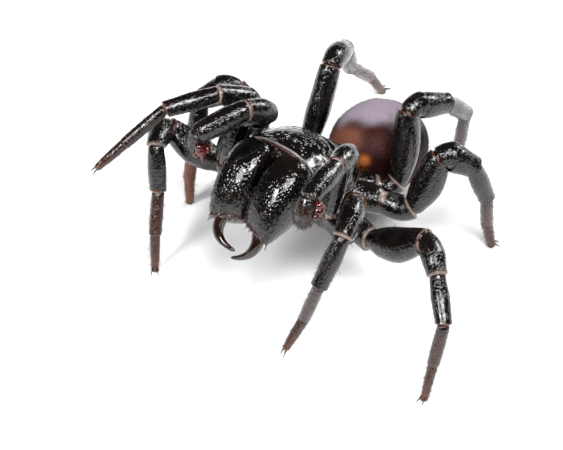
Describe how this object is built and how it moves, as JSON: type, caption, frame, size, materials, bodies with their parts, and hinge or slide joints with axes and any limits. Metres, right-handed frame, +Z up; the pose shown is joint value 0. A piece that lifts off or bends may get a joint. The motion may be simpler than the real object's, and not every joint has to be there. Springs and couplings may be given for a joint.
{
  "type": "mouse spider",
  "caption": "Life-size still model of a stout black male mouse spider in a threat stance, head raised, palps folded, front legs in the air, fangs crossed.",
  "frame": {"origin": "on the floor, under the middle of the whole model's box", "axes": "-Y towards the head, +X towards the spider's left, +Z up"},
  "size_m": [0.0243, 0.0262, 0.0141],
  "materials": {
    "black_shell": "glossy, finely granular black-brown shell, as in life",
    "dark_fang": "glossy dark red-black fang",
    "abdomen_skin": "dull leathery skin, mauve above and red-brown at the sides"
  },
  "bodies": {
    "root": {"carapace": "black_shell", "sternum": "black_shell", "chelicera_left": "black_shell", "chelicera_right": "black_shell", "fang_left": "dark_fang", "fang_right": "dark_fang", "waist": "black_shell", "abdomen": "abdomen_skin", "spinnerets": "abdomen_skin", "palp_left_hip": "black_shell", "palp_left_femur": "black_shell", "palp_left_patella": "black_shell", "palp_left_tibia": "black_shell", "palp_left_tarsus": "black_shell", "leg_1_left_hip": "black_shell", "leg_1_left_femur": "black_shell", "leg_1_left_patella": "black_shell", "leg_1_left_tibia": "black_shell", "leg_1_left_foot": "black_shell", "leg_2_left_hip": "black_shell", "leg_2_left_femur": "black_shell", "leg_2_left_patella": "black_shell", "leg_2_left_tibia": "black_shell", "leg_2_left_foot": "black_shell", "leg_3_left_hip": "black_shell", "leg_3_left_femur": "black_shell", "leg_3_left_patella": "black_shell", "leg_3_left_tibia": "black_shell", "leg_3_left_foot": "black_shell", "leg_4_left_hip": "black_shell", "leg_4_left_femur": "black_shell", "leg_4_left_patella": "black_shell", "leg_4_left_tibia": "black_shell", "leg_4_left_foot": "black_shell", "palp_right_hip": "black_shell", "palp_right_femur": "black_shell", "palp_right_patella": "black_shell", "palp_right_tibia": "black_shell", "palp_right_tarsus": "black_shell", "leg_1_right_hip": "black_shell", "leg_1_right_femur": "black_shell", "leg_1_right_patella": "black_shell", "leg_1_right_tibia": "black_shell", "leg_1_right_foot": "black_shell", "leg_2_right_hip": "black_shell", "leg_2_right_femur": "black_shell", "leg_2_right_patella": "black_shell", "leg_2_right_tibia": "black_shell", "leg_2_right_foot": "black_shell", "leg_3_right_hip": "black_shell", "leg_3_right_femur": "black_shell", "leg_3_right_patella": "black_shell", "leg_3_right_tibia": "black_shell", "leg_3_right_foot": "black_shell", "leg_4_right_hip": "black_shell", "leg_4_right_femur": "black_shell", "leg_4_right_patella": "black_shell", "leg_4_right_tibia": "black_shell", "leg_4_right_foot": "black_shell"}
  },
  "joints": []
}
